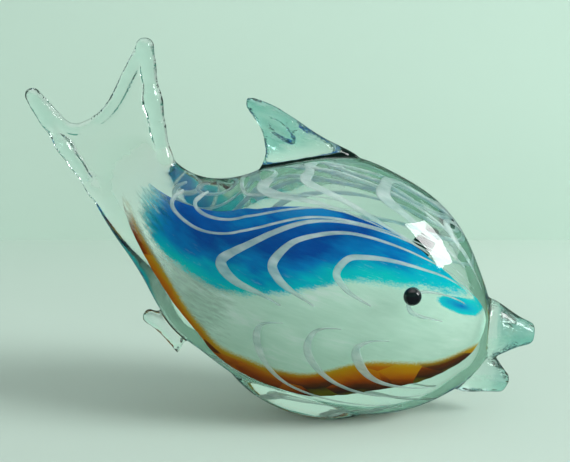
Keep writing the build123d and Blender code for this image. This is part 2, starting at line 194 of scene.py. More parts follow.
def together(shapes):
    """Several shapes as one set of vertices and triangles."""
    offsets = np.cumsum([0] + [len(points) for points, faces in shapes])
    points = np.concatenate([points for points, faces in shapes])
    faces = np.concatenate([faces + start for (_, faces), start in zip(shapes, offsets)])
    return points, faces


def add_object(name, data):
    """An object of the scene, unturned at the origin."""
    new = bpy.data.objects.new(name, data)
    bpy.context.scene.collection.objects.link(new)
    return new


def glass_piece(name, shape, material):
    """A smooth mesh object at the origin, made from vertices in millimetres."""
    points, faces = shape
    mesh = bpy.data.meshes.new(name)
    mesh.vertices.add(len(points))
    mesh.vertices.foreach_set("co", (points * MM).astype(np.float32).ravel())
    mesh.loops.add(faces.size)
    mesh.loops.foreach_set("vertex_index", faces.astype(np.int32).ravel())
    mesh.polygons.add(len(faces))
    mesh.polygons.foreach_set("loop_start", np.arange(0, faces.size, 3, dtype=np.int32))
    mesh.polygons.foreach_set("use_smooth", np.ones(len(faces), bool))
    mesh.update(calc_edges=True)
    mesh.validate()
    mesh.materials.append(material)
    return add_object(name, mesh)


def mesh_points(mesh):
    """A mesh's vertices in millimetres, one to a row."""
    points = np.empty(len(mesh.vertices) * 3)
    mesh.vertices.foreach_get("co", points)
    return points.reshape(-1, 3) / MM


def give_attribute(piece, name, values):
    """A number, or a vector, at each vertex of a piece, which its material reads by name."""
    kind, field = ("FLOAT", "value") if values.ndim == 1 else ("FLOAT_VECTOR", "vector")
    attribute = piece.data.attributes.new(name, kind, "POINT")
    attribute.data.foreach_set(field, values.astype(np.float32).ravel())


# Colours
def linear(red, green, blue):
    """Scene-linear colour of an sRGB colour given from 0 to 255."""
    c = np.array([red, green, blue]) / 255
    c = np.where(c <= 0.04045, c / 12.92, ((c + 0.055) / 1.055) ** 2.4)
    return (*[float(v) for v in c], 1.0)


def grey(value):
    """A grey whose three channels are the same."""
    return (value, value, value, 1.0)


# Node trees
class Nodes:
    """A node tree with short calls for adding and joining nodes."""

    def __init__(self, tree):
        self.tree = tree

    def feed(self, node, inputs):
        """Join the sockets among the inputs to a node, and set the others as plain values."""
        for key, value in inputs.items():
            if isinstance(value, bpy.types.NodeSocket):
                self.tree.links.new(value, node.inputs[key])
            else:
                node.inputs[key].default_value = value

    def feed_named(self, name, inputs):
        """The same for a node that the tree has had from its start."""
        self.feed(self.tree.nodes[name], inputs)

    def add(self, kind, inputs=None, **settings):
        """A new node with its settings and inputs."""
        node = self.tree.nodes.new(kind)
        for key, value in settings.items():
            setattr(node, key, value)
        self.feed(node, inputs or {})
        return node

    def attribute(self, name, output="Fac"):
        """What give_attribute puts into a mesh under that name."""
        return self.add("ShaderNodeAttribute", attribute_name=name).outputs[output]

    def ramp(self, factor, stops):
        """A colour that runs through stops of a position and a colour."""
        node = self.add("ShaderNodeValToRGB", {"Fac": factor})
        elements = node.color_ramp.elements
        while len(elements) < len(stops):
            elements.new(0.5)
        for element, (position, colour) in zip(elements, stops):
            element.position = position
            element.color = colour
        return node.outputs["Color"]

    def math(self, operation, *values, clamp=False):
        """A sum, product or the like of sockets and numbers."""
        values = dict(enumerate(values))
        return self.add("ShaderNodeMath", values, operation=operation, use_clamp=clamp).outputs[0]

    def share(self, whole, start, *terms):
        """Start plus each (socket, weight) multiplied, as a share of the whole from 0 to 1."""
        total = start
        for socket, weight in terms:
            total = self.math("MULTIPLY_ADD", socket, weight, total)
        return self.math("MULTIPLY", total, 1 / whole, clamp=True)

    def blend(self, factor, first, second):
        """First where the factor is 0, second where it is 1."""
        inputs = {"Factor": factor, "A": first, "B": second}
        return self.add("ShaderNodeMix", inputs, data_type="RGBA").outputs["Result"]


def new_material(name):
    """A material and the calls for its nodes."""
    material = bpy.data.materials.new(name)
    material.use_nodes = True
    return material, Nodes(material.node_tree)


def grain_group():
    """The effect all the materials share: noise stretched by its own amount along each axis."""
    group = bpy.data.node_groups.new("stretched_grain", "ShaderNodeTree")
    for name, kind, value in (
        ("Place", "NodeSocketVector", (0, 0, 0)),
        ("Stretch", "NodeSocketVector", (100, 300, 300)),
        ("Detail", "NodeSocketFloat", 2.0),
        ("Roughness", "NodeSocketFloat", 0.5),
    ):
        group.interface.new_socket(name, in_out="INPUT", socket_type=kind).default_value = value
    group.interface.new_socket("Grain", in_out="OUTPUT", socket_type="NodeSocketFloat")
    nodes = Nodes(group)
    given = nodes.add("NodeGroupInput").outputs
    stretched = nodes.add("ShaderNodeMapping", {"Vector": given["Place"], "Scale": given["Stretch"]})
    noise = nodes.add("ShaderNodeTexNoise", {
        "Vector": stretched.outputs[0],
        "Scale": 1.0,
        "Detail": given["Detail"],
        "Roughness": given["Roughness"],
    })
    nodes.add("NodeGroupOutput", {"Grain": noise.outputs["Fac"]})
    return group


GRAIN = grain_group()


def grain(nodes, place, stretch, detail=2.0, roughness=0.5):
    """The shared grain in a material, with that material's own stretch and detail."""
    inputs = {"Place": place, "Stretch": stretch, "Detail": detail, "Roughness": roughness}
    return nodes.add("ShaderNodeGroup", inputs, node_tree=GRAIN).outputs["Grain"]


def along_the_body(nodes):
    """Object coordinates in metres, turned so that X runs along the body."""
    place = nodes.add("ShaderNodeTexCoord").outputs["Object"]
    return nodes.add("ShaderNodeMapping", {"Vector": place, "Rotation": (0, -TILT, 0)}).outputs[0]


# The clear glass: how light bends in it, how much its surface waves, how high a wave of 1 is in
# metres, and how much more strongly drawn-out glass is ridged
GLASS_INDEX = 1.5
WAVE_STRENGTH, WAVE_HEIGHT = 0.16, 0.001
DRAWN_RIDGES = 50.0
# Its tint from the body to the most drawn-out glass, which is dark teal painted shade there, and
# what its depth takes from light
GLASS_TINTS_AND_PAINTED_SHADE = [
    (0.0, (0.985, 1.0, 0.99, 1)), (0.5, (0.80, 0.95, 0.92, 1)), (1.0, (0.34, 0.66, 0.62, 1))]
DEPTH_COLOUR, DEPTH_DENSITY = (0.50, 0.86, 0.74, 1), 9.0


def clear_glass_material():
    """Fire-polished soda glass: faintly wavy and green where it is thick. Drawn-out ends are painted
    with dark teal shade, in streaks, for the dark room that their clear glass bends.
    """
    material, nodes = new_material("clear_glass")
    body = along_the_body(nodes)
    drawn = nodes.attribute("drawn_out")
    streak = grain(nodes, body, stretch=(90, 160, 320), detail=3.0)
    waves = grain(nodes, body, stretch=(45, 45, 160), detail=1.5)
    ridges = nodes.math("MULTIPLY", nodes.math("MULTIPLY", drawn, streak), DRAWN_RIDGES)
    bump = nodes.add("ShaderNodeBump", {
        "Strength": WAVE_STRENGTH,
        "Distance": WAVE_HEIGHT,
        "Height": nodes.math("ADD", waves, ridges),
    })
    # Painted shade: drawn-out glass darkens to teal in streaks, standing in for the dark room that
    # its clear glass bends
    uneven = nodes.math("MULTIPLY", drawn, nodes.math("ADD", streak, 0.5), clamp=True)
    nodes.feed_named("Principled BSDF", {
        "Base Color": nodes.ramp(uneven, GLASS_TINTS_AND_PAINTED_SHADE),
        "Roughness": 0.0,
        "IOR": GLASS_INDEX,
        "Transmission Weight": 1.0,
        "Normal": bump.outputs[0],
    })
    depth = nodes.add(
        "ShaderNodeVolumeAbsorption", {"Color": DEPTH_COLOUR, "Density": DEPTH_DENSITY})
    nodes.feed_named("Material Output", {"Volume": depth.outputs[0]})
    return material


# The coats: their tones, from 0 at the edge to 1 at full depth
BLUE_TONES = [
    (0.0, linear(10, 210, 212)), (0.2, linear(0, 188, 214)), (0.42, linear(0, 126, 200)),
    (0.65, linear(0, 74, 164)), (0.85, linear(0, 96, 188)), (1.0, linear(0, 132, 205))]
FLECK_TONE = linear(190, 235, 235)
AMBER_TONES = [
    (0.0, linear(214, 144, 8)), (0.25, linear(206, 108, 6)), (0.40, linear(176, 74, 6)),
    (0.55, linear(112, 52, 14)), (0.75, linear(70, 40, 24)), (1.0, linear(128, 112, 14))]
AMBER_RIM_TONE = linear(205, 175, 50)
# The milk's tones, and the flecks' strength, by the strength of clouds and streaks
MILK_TONES = [
    (0.36, linear(200, 232, 214)), (0.55, linear(214, 242, 226)), (0.68, linear(236, 250, 243))]
FLECKS = [(0.60, grey(0.0)), (0.72, grey(0.85))]
# How tones and cover run in from a coat's edge, in millimetres: how far before it they start,
# how long they run, and how far each grain shifts them
BLUE_TONES_RUN = {"start": 0.0, "run": 26.0, "cloud": 22.0, "drawn": 6.0}
BLUE_FLECKS_RUN = {"start": 0.0, "run": 14.0}
BLUE_COVER_RUN = {"start": 0.6, "run": 2.2, "drawn": 5.0, "fine": 3.5}
AMBER_TONES_RUN = {"start": 0.5, "run": 14.0, "facet": 13.0, "cloud": 8.0}
AMBER_RIM_RUN = {"start": 0.0, "run": 2.6, "fine": 1.5}
AMBER_COVER_RUN = {"start": 0.5, "run": 1.6, "fine": 2.5}
AMBER_FACET_STRETCH = (0.055, 0.13, 0.05)
# Where milk and coats end along the spine, over what length they thin out, and how far streaks
# shift that
MILK_END, MILK_FADE = 136.0, 36.0
COAT_END, COAT_FADE = 150.0, 16.0
STREAK_REACH = 34.0


def run_in(nodes, depth, grains, start, run, **shifts):
    """Depth behind a coat's edge as a share of a run, 0 to 1, shifted by the named grains."""
    terms = [(grains[name], shift) for name, shift in shifts.items()]
    return nodes.share(run, start, (depth, 1.0), *terms)


def blue_coat(nodes, streaks, fine_grain, grains):
    """Colour and cover of the blue: turquoise with pale flecks at its lower edge, and darkest
    two thirds of its run above that."""
    depth = nodes.attribute("blue_depth")
    tone = nodes.ramp(run_in(nodes, depth, grains, **BLUE_TONES_RUN), BLUE_TONES)
    near_edge = nodes.ramp(
        run_in(nodes, depth, grains, **BLUE_FLECKS_RUN), [(0.0, grey(1.0)), (0.9, grey(0.0))])
    fleck = nodes.math("MULTIPLY", nodes.ramp(streaks, FLECKS), near_edge)
    fleck = nodes.math("MULTIPLY", fleck, fine_grain)
    return nodes.blend(fleck, tone, FLECK_TONE), run_in(nodes, depth, grains, **BLUE_COVER_RUN)


def amber_coat(nodes, place, grains):
    """Colour and cover of the amber: yellow at its upper rim, and broken into lighter and
    darker facets below, which are cells of a stretched Voronoi pattern."""
    depth = nodes.attribute("amber_depth")
    stretched = nodes.add(
        "ShaderNodeMapping", {"Vector": place, "Scale": AMBER_FACET_STRETCH}).outputs[0]
    cells = nodes.add("ShaderNodeTexVoronoi", {"Vector": stretched, "Scale": 1.0})
    grains = {**grains, "facet": nodes.math("SUBTRACT", cells.outputs["Color"], 0.5)}
    tone = nodes.ramp(run_in(nodes, depth, grains, **AMBER_TONES_RUN), AMBER_TONES)
    rim = run_in(nodes, depth, grains, **AMBER_RIM_RUN)
    cover = run_in(nodes, depth, grains, **AMBER_COVER_RUN)
    return nodes.blend(rim, AMBER_RIM_TONE, tone), cover


def core_material():
    """Milky glass, blue above and amber below, with edges drawn into fine streaks. The flow
    attribute is the distance along the spine, the height over it and Y, in millimetres."""
    material, nodes = new_material("coated_core")
    place = nodes.attribute("flow", "Vector")
    streaks = grain(nodes, place, stretch=(0.10, 0.9, 0.5), detail=6.0, roughness=0.65)
    clouds = grain(nodes, place, stretch=(0.045, 0.12, 0.08), detail=3.0, roughness=0.55)
    fine_grain = grain(nodes, place, stretch=(1.6, 2.6, 2.0))
    # The same grains from -0.5 to 0.5
    grains = {
        "drawn": nodes.math("SUBTRACT", streaks, 0.5),
        "cloud": nodes.math("SUBTRACT", clouds, 0.5),
        "fine": nodes.math("SUBTRACT", fine_grain, 0.5),
    }
    blue, blue_cover = blue_coat(nodes, streaks, fine_grain, grains)
    amber, amber_cover = amber_coat(nodes, place, grains)
    milk = nodes.ramp(nodes.share(1.0, 0.0, (clouds, 0.6), (streaks, 0.4)), MILK_TONES)
    colour = nodes.blend(amber_cover, nodes.blend(blue_cover, milk, blue), amber)

    # Towards the tail milk and coats thin out to nothing, in streaks
    along = nodes.add("ShaderNodeSeparateXYZ", {"Vector": place}).outputs["X"]
    terms = (grains["drawn"], STREAK_REACH), (along, -1.0)
    milk_left = nodes.share(MILK_FADE, MILK_END, *terms)
    coat_left = nodes.share(COAT_FADE, COAT_END, *terms)
    coats = nodes.math("MULTIPLY", coat_left, nodes.math("MAXIMUM", blue_cover, amber_cover))
    nodes.feed_named("Principled BSDF", {
        "Base Color": colour,
        "Roughness": 0.45,
        "IOR": GLASS_INDEX,
        "Specular IOR Level": 0.0,
        "Alpha": nodes.math("MAXIMUM", milk_left, coats),
    })
    return material


# Threads and beads by the strength of their grain: tones, and how well a thread covers
THREAD_TONES = [(0.3, linear(204, 230, 226)), (0.7, linear(236, 247, 244))]
THREAD_COVER = [(0.3, grey(0.42)), (0.7, grey(0.60))]
BEAD_TONES = [(0.3, (0.002, 0.002, 0.003, 1)), (0.7, (0.006, 0.008, 0.010, 1))]


def thread_material():
    """White glass drawn so thin that it lets about half of what lies behind it through."""
    material, nodes = new_material("white_thread")
    uneven = grain(nodes, along_the_body(nodes), stretch=(100, 300, 300))
    nodes.feed_named("Principled BSDF", {
        "Base Color": nodes.ramp(uneven, THREAD_TONES),
        "Roughness": 0.35,
        "Specular IOR Level": 0.1,
        "Alpha": nodes.ramp(uneven, THREAD_COVER),
    })
    return material


def eye_material():
    """Black glass, all but even, with a fire-polished gloss."""
    material, nodes = new_material("black_bead")
    cloud = grain(nodes, along_the_body(nodes), stretch=(400, 400, 400))
    nodes.feed_named("Principled BSDF", {
        "Base Color": nodes.ramp(cloud, BEAD_TONES),
        "Roughness": 0.03,
        "IOR": 1.52,
    })
    return material


# The tail: a flat in the mid plane, from a place on the spine. It leans back from level by an
# angle, and its spread is measured square to that
TAIL_PLACE = 0.845
TAIL_LENGTH = 56.0
TAIL_SPREAD = 50.0
TAIL_LEAN = math.radians(62.0)
TAIL_WEB_HALF = 1.7
# Rims and fork as shares of the tail's length and spread
REAR_RIM = [(-0.25, -0.245), (0.40, -0.345), (0.95, -0.375)]
FRONT_RIM = [(-0.25, 0.110), (0.30, 0.290), (0.88, 0.530)]
FORK = [
    (0.95, -0.375), (0.80, -0.330), (0.62, -0.290), (0.585, -0.110), (0.625, 0.110),
    (0.76, 0.300), (0.88, 0.530)]
# Radii of the rods along them: the rear rim tapers, and the fork swells to both of its ends
REAR_RADIUS, REAR_TAPER = 3.0, 0.2
FRONT_RADIUS = 3.3
FORK_RADIUS, FORK_SWELL = 2.5, 0.35
# Waves of the rims' radii: height, radians from end to end, and angle at the start
REAR_WAVES = [(0.3, 23.0, 0.0), (0.2, 41.0, 0.0)]
FRONT_WAVES = [(0.3, 19.0, 1.0), (0.2, 37.0, 0.0)]


def arc_through(points, t):
    """Parabola through three points, the middle one at t = one half."""
    first, middle, last = np.array(points, float)
    turn = 2 * middle - (first + last) / 2
    t = t[:, None]
    return first * (1 - t) ** 2 + 2 * turn * t * (1 - t) + last * t**2


def bspline(points, count):
    """Uniform cubic B-spline that starts and ends on its first and last points."""
    points = np.asarray(points, float)
    before = 2 * points[:1] - points[1:2]
    after = 2 * points[-1:] - points[-2:-1]
    points = np.concatenate([before, points, after])
    t = np.linspace(0, len(points) - 3 - 1e-9, count)
    k = t.astype(int)
    f = (t - k)[:, None]
    a, b, c, d = (points[k + n] for n in range(4))
    middle = (3 * f**3 - 6 * f**2 + 4) * b + (-3 * f**3 + 3 * f**2 + 3 * f + 1) * c
    return ((1 - f) ** 3 * a + middle + f**3 * d) / 6


def on_tail(shares):
    """Points of the flat tail from shares of its length and spread."""
    root_x, _, root_z = from_side_view(*off_spine(TAIL_PLACE, 0.0), 0.0)
    p, q = shares[..., 0] * TAIL_LENGTH, shares[..., 1] * TAIL_SPREAD
    x = root_x - p * math.cos(TAIL_LEAN) + q * math.sin(TAIL_LEAN)
    z = root_z + p * math.sin(TAIL_LEAN) + q * math.cos(TAIL_LEAN)
    return np.stack([x, np.zeros_like(x), z], -1)


def rod(path, radius, around=20, cap_rings=8):
    """Round rod along a path in the mid plane, with a radius for each of its points and a
    hemisphere at both ends: rings that stand out by the sine of an angle and shrink by the
    cosine, up to 90 degrees."""
    forward = np.gradient(path, axis=0)
    forward /= np.linalg.norm(forward, axis=1, keepdims=True)
    radius = radius[:, None]
    out = np.sin(np.linspace(0, np.pi / 2, cap_rings))[:, None]
    shrink = np.sqrt(1 - out**2)
    centres = np.concatenate([
        path[0] - forward[0] * radius[0] * out[::-1],
        path[1:-1],
        path[-1] + forward[-1] * radius[-1] * out,
    ])
    size = np.concatenate([radius[0] * shrink[::-1], radius[1:-1], radius[-1] * shrink])
    ahead = np.concatenate([
        np.repeat(forward[:1], cap_rings, 0),
        forward[1:-1],
        np.repeat(forward[-1:], cap_rings, 0),
    ])
    return closed_tube(oval_rings(centres, size * np.cross(ahead, SIDE), size * SIDE, around))


def wavy(radius, waves, t):
    """A radius plus sine waves along t, as glass that was pulled by hand has."""
    return radius + sum(height * np.sin(turns * t + start) for height, turns, start in waves)


def tail_shapes(count=60):
    """Web as a Coons patch between the rims and the fork, and rods for the rims and the fork."""
    t = np.linspace(0, 1, count)
    rear = arc_through(REAR_RIM, t)
    front = arc_through(FRONT_RIM, t)
    fork = bspline(FORK, count)
    root = rear[0] * (1 - t[:, None]) + front[0] * t[:, None]
    a, b = t[:, None, None], t[None, :, None]
    patch = (1 - b) * rear[:, None] + b * front[:, None] + (1 - a) * root[None] + a * fork[None]
    patch -= (1 - a) * (1 - b) * rear[0] + (1 - a) * b * front[0]
    patch -= a * (1 - b) * rear[-1] + a * b * front[-1]
    sheet = on_tail(patch)
    # Rings run from rim to rim, so that the fans at their ends lie inside the rods
    near = (sheet + TAIL_WEB_HALF * SIDE).swapaxes(0, 1)
    far = (sheet - TAIL_WEB_HALF * SIDE).swapaxes(0, 1)
    return [
        closed_tube(np.concatenate([near, far[:, ::-1]], axis=1)),
        rod(on_tail(rear), wavy(REAR_RADIUS - REAR_TAPER * t, REAR_WAVES, t)),
        rod(on_tail(front), wavy(FRONT_RADIUS, FRONT_WAVES, t)),
        rod(on_tail(fork), FORK_RADIUS + FORK_SWELL * (2 * t - 1) ** 2),
    ]


# The dorsal fin: its place on the spine, its height, how far back it sweeps, and its half sizes
FIN_PLACE = 0.532
FIN_HEIGHT = 22.0
FIN_SWEEP = 22.5
FIN_HALF_LONG = 18.0
FIN_HALF_THICK = 7.0
# Level ovals: height, how far back, half length and half thickness as shares
FIN_SHARES = np.array([
    (-0.320, 0.000, 1.150, 0.620), (0.020, 0.000, 0.950, 0.720), (0.250, 0.220, 0.690, 0.740),
    (0.440, 0.400, 0.520, 0.620), (0.630, 0.585, 0.420, 0.500), (0.770, 0.740, 0.350, 0.420),
    (0.900, 0.885, 0.235, 0.330), (0.985, 0.990, 0.080, 0.150)])
# The oval that the tweezers pressed in: its middle as shares of sweep and height, its slope and
# half sizes, the half thickness left at its middle, and how much more is left at its rim
PINCH_BACK, PINCH_UP = 0.56, 0.5
PINCH_SLOPE = math.radians(42)
PINCH_HALF_LONG, PINCH_HALF_TALL = 10.5, 4.6
PINCH_LEFT, PINCH_RISE = 1.3, 3.8


def dorsal_fin_shape(rings=70, around=64):
    """Level ovals swept back and up. Inside the pinch both faces are held to a half thickness
    that grows from its middle to its rim by 1 less the height of an ellipsoid over the oval."""
    rise, tall, _ = section(CASING, CASING_SIZE, FIN_PLACE)
    root_x, _, root_z = from_side_view(*off_spine(FIN_PLACE, rise + tall), 0.0)
    t = np.linspace(FIN_SHARES[0, 0], FIN_SHARES[-1, 0], rings)
    back, long, wide = (natural_spline(FIN_SHARES[:, 0], FIN_SHARES[:, n], t) for n in (1, 2, 3))
    angle = whole_turn(around)
    x = root_x - back[:, None] * FIN_SWEEP + long[:, None] * FIN_HALF_LONG * np.cos(angle)
    y = wide[:, None] * FIN_HALF_THICK * np.sin(angle)
    z = np.broadcast_to(root_z + t[:, None] * FIN_HEIGHT, x.shape)
    ahead = x - root_x + PINCH_BACK * FIN_SWEEP
    above = z - root_z - PINCH_UP * FIN_HEIGHT
    along = (ahead * math.cos(PINCH_SLOPE) - above * math.sin(PINCH_SLOPE)) / PINCH_HALF_LONG
    over = (ahead * math.sin(PINCH_SLOPE) + above * math.cos(PINCH_SLOPE)) / PINCH_HALF_TALL
    hollow = np.sqrt(np.maximum(1 - along**2 - over**2, 0))
    limit = np.where(hollow > 0, PINCH_LEFT + PINCH_RISE * (1 - hollow), np.inf)
    return closed_tube(np.stack([x, np.sign(y) * np.minimum(np.abs(y), limit), z], -1))


# The lips: how far each starts behind and below the nose, its slope in degrees, its length, and
# its width at the root and at the tip
UPPER_LIP = {"setback": 3.4, "drop": -7.4, "slope": 6.0, "length": 19.3, "root": 25.0, "tip": 9.4}
LOWER_LIP = {"setback": 7.2, "drop": 8.4, "slope": 28.5, "length": 15.0, "root": 21.0, "tip": 8.6}
# How deep both sit in the body, and their thickness as a share of their width
LIP_SEAT = 6.0
LIP_FLATNESS = 0.84
# Where they are waisted and where they swell, as shares of the length, the swelling's width
# against the tip's, and how far before the end the width of the tip is reached
LIP_WAIST_PLACE, LIP_SWELLING_PLACE = 0.45, 0.8
LIP_SWELLING = 1.12
LIP_TIP_BEFORE_END = 1.8
# The rounding of the tip: its length as a share of the tip's width, and how much of the width
# is left at its end
LIP_ROUNDING = 0.38
LIP_BLUNTNESS = 0.62


def lip_shape(setback, drop, slope, length, root, tip, rings=40, around=48):
    """A waisted cone of flattened ovals, seated in the mouth. Its width is splined, and over
    the tip's rounding it falls as a quarter circle does, to a blunt end."""
    turned = math.radians(slope)
    forward = np.array([math.cos(turned), 0, -math.sin(turned)])
    down = np.array([-math.sin(turned), 0, -math.cos(turned)])
    along = np.linspace(0, 1, rings)[:, None] * (length + LIP_SEAT) - LIP_SEAT
    last = length - LIP_TIP_BEFORE_END
    places = np.array([-LIP_SEAT, 0.0, length * LIP_WAIST_PLACE, length * LIP_SWELLING_PLACE, last])
    widths = np.array([root, root, (root + tip) / 2, tip * LIP_SWELLING, tip])
    width = natural_spline(places, widths, np.minimum(along, last))
    rounding = tip * LIP_ROUNDING
    cap = np.clip((along - (length - rounding)) / rounding, 0, 1)
    half = width / 2 * (LIP_BLUNTNESS + (1 - LIP_BLUNTNESS) * np.sqrt(1 - cap**2))
    centre = from_side_view(NOSE, 0.0, 0.0) + np.array([-setback, 0, -drop]) + forward * along
    return closed_tube(oval_rings(centre, half * LIP_FLATNESS * SIDE, half * down, around))


# The anal fin: its place on the spine, slope, seat and length, its thickness as a share of its
# width, and the stretch over which its tip is rounded
NUB_PLACE = 0.660
NUB_SLOPE = math.radians(25)
NUB_SEAT = 5.0
NUB_LENGTH = 13.5
NUB_FLATNESS = 0.6
NUB_ROUNDING = (11.5, 13.55)
# Its widths: place from the belly backwards, width
NUB_WIDTHS = np.array([(-NUB_SEAT, 18.0), (0.0, 13.0), (6.0, 8.0), (NUB_LENGTH, 5.2)])


def anal_fin_shape(rings=30, around=40):
    """A flat nub: a cone of ovals from the belly backwards. Its width is splined, and at its
    tip it falls as a quarter circle does."""
    rise, tall, _ = section(CASING, CASING_SIZE, NUB_PLACE)
    seat = from_side_view(*off_spine(NUB_PLACE, rise - tall), 0.0)
    backward = np.array([-math.cos(NUB_SLOPE), 0, math.sin(NUB_SLOPE)])
    up = np.array([math.sin(NUB_SLOPE), 0, math.cos(NUB_SLOPE)])
    along = np.linspace(-NUB_SEAT, NUB_LENGTH, rings)[:, None]
    start, end = NUB_ROUNDING
    cap = np.clip((along - start) / (end - start), 0, 1)
    half = natural_spline(*NUB_WIDTHS.T, along) / 2 * np.sqrt(1 - cap**2)
    centre = seat + backward * along
    return closed_tube(oval_rings(centre, half * NUB_FLATNESS * SIDE, half * up, around))


# The belly pad: its middle in side view, its half length and its radius
PAD_MIDDLE = (4.977, -31.02)
PAD_HALF_LONG = 34.0
PAD_RADIUS = 20.0


def belly_pad_shape(rings=60, around=64):
    """An ellipsoid of revolution, half sunk in the belly: half length times the cosine and
    radius times the sine of an angle from end to end."""
    t = (np.arange(rings)[:, None] + 0.5) / rings * np.pi
    angle = whole_turn(around)
    u = PAD_MIDDLE[0] + PAD_HALF_LONG * np.cos(t)
    radius = PAD_RADIUS * np.sin(t)
    return closed_tube(
        from_side_view(u, PAD_MIDDLE[1] + radius * np.sin(angle), radius * np.cos(angle)))


# The skin: the size of its voxels and its rounds of relaxing. Rounds that pull it in take turns
# with rounds that let it swell back
SKIN_VOXEL = 0.8
SKIN_ROUNDS = 40
PULL_IN, SWELL_BACK = 0.55, -0.57
# Where the casing ends inside the tail's web, a little before its last section
CASING_END = 0.999


def melted_together(name, shapes, material):
    """One skin round all the shapes, relaxed so that their joints melt into fillets: each round
    moves every vertex a part of the way to the mean of its neighbours, or back away from it."""
    rough = glass_piece(name + "_rough", together(shapes), material)
    remesh = rough.modifiers.new("skin", "REMESH")
    remesh.mode = "VOXEL"
    remesh.voxel_size = SKIN_VOXEL * MM
    skin = rough.evaluated_get(bpy.context.evaluated_depsgraph_get())
    mesh = bpy.data.meshes.new_from_object(skin)
    bpy.data.objects.remove(rough)
    points = mesh_points(mesh)
    edges = np.empty(len(mesh.edges) * 2, np.int32)
    mesh.edges.foreach_get("vertices", edges)
    edges = edges.reshape(-1, 2)
    start, end = np.concatenate([edges, edges[:, ::-1]]).T
    neighbours = np.bincount(start, minlength=len(points))[:, None]
    for step in range(SKIN_ROUNDS):
        pull = PULL_IN if step % 2 == 0 else SWELL_BACK
        sums = [np.bincount(start, points[end, axis], len(points)) for axis in range(3)]
        points = points + pull * (np.stack(sums, -1) / neighbours - points)
    # The pad is ground flat where the fish stands
    points[:, 2] = np.maximum(points[:, 2], 0.0)
    mesh.vertices.foreach_set("co", (points * MM).ravel())
    mesh.polygons.foreach_set("use_smooth", np.ones(len(mesh.polygons), bool))
    mesh.update()
    mesh.materials.clear()
    mesh.materials.append(material)
    return add_object(name, mesh)


# Drawn-out glass: from which millimetre, over which stretch, and up to which amount it counts,
# for the lips along u, the fin above the casing, the nub below it, and the rims off the mid plane
LIPS_DRAWN = (64.0, 14.0, 0.8)
FIN_DRAWN = (0.0, 8.0, 0.9)
NUB_DRAWN = (1.0, 8.0, 0.5)
RIMS_DRAWN = (1.9, 0.8, 0.3)
# Where the fin's part ends along u, and between which places on the spine the nub is
FIN_DRAWN_END = -62.0
NUB_FROM, NUB_TO = 0.6, 0.8
# From which place on the spine the rims count, from which the fork does too, and how far off the
# spine they are before that
RIMS_FROM, FORK_FROM = 0.93, 1.03
RIMS_OFF_SPINE = 12.5


def grown(value, start, stretch, amount):
    """0 up to the start, then a straight line that reaches the amount over the stretch."""
    return amount * np.clip((value - start) / stretch, 0, 1)


def drawn_out(points):
    """How far the glass was drawn out of the body, 0 to 1: the largest of what the lips, the
    fin, the nub under the belly and the rims of the tail give."""
    u, v = to_side_view(points)
    place, up = to_spine(u, v)
    rise, tall, _ = section(CASING, CASING_SIZE, place)
    lips = grown(u, *LIPS_DRAWN)
    fin = grown(up - rise - tall, *FIN_DRAWN) * (u > FIN_DRAWN_END)
    nub = grown(rise - tall - up, *NUB_DRAWN) * (place > NUB_FROM) * (place < NUB_TO)
    rims = grown(np.abs(points[:, 1]), *RIMS_DRAWN) * (place > RIMS_FROM)
    rims *= (place > FORK_FROM) | (np.abs(up) > RIMS_OFF_SPINE)
    return np.maximum.reduce([lips, fin, nub, rims])


outer = melted_together(
    "clear_glass",
    [
        closed_tube(egg_rings(CASING, CASING_SIZE, last=CASING_END)),
        *tail_shapes(),
        dorsal_fin_shape(),
        lip_shape(**UPPER_LIP),
        lip_shape(**LOWER_LIP),
        anal_fin_shape(),
        belly_pad_shape(),
    ],
    clear_glass_material(),
)
# The clear glass reads this for its ridges and for its painted dark teal shade
give_attribute(outer, "drawn_out", drawn_out(mesh_points(outer.data)))
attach(outer, "root")
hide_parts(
    "clear_casing", "clear_gather", "dorsal_fin", "upper_lip", "lower_lip", "anal_fin", "belly_pad")

# The coated core. Lower edge of the blue and upper edge of the amber: distance along the spine,
# height over it
BLUE_EDGE = np.array([
    (8, 18.0), (16, 15.5), (25, 14.9), (32, 15.0), (40, 15.2), (47, 13.9), (56, 12.8), (64, 10.8),
    (73.5, 5.6), (82, 0.6), (95, -5.8), (105, -9.2), (114, -9.9), (124, -9.8), (133, -9.0),
    (142.5, -6.0), (152, -1.0), (162, 2.0)])
AMBER_EDGE = np.array([
    (8, 2.0), (14, -0.9), (22.5, -6.2), (37, -11.2), (54, -17.6), (63, -24.3), (71, -27.8),
    (81.5, -29.4), (90, -29.4), (98, -29.1), (104, -26.7), (112, -21.6), (122, -15.0),
    (134, -10.6), (146, -7.0), (160, -3.0)])
# A lens of blue that the first gather left at the mouth: its middle along the spine and over it,
# its half length and half height, its slope, and how steeply its colour deepens
LENS_ALONG, LENS_UP = 23.5, 12.2
LENS_HALF_LONG, LENS_HALF_TALL = 9.5, 2.2
LENS_SLOPE = 0.12
LENS_STEEPNESS = 6


def height_over(edge, along, up):
    """Height over an edge, a spline through its few points."""
    return up - natural_spline(edge[:, 0], edge[:, 1], np.clip(along, edge[0, 0], edge[-1, 0]))


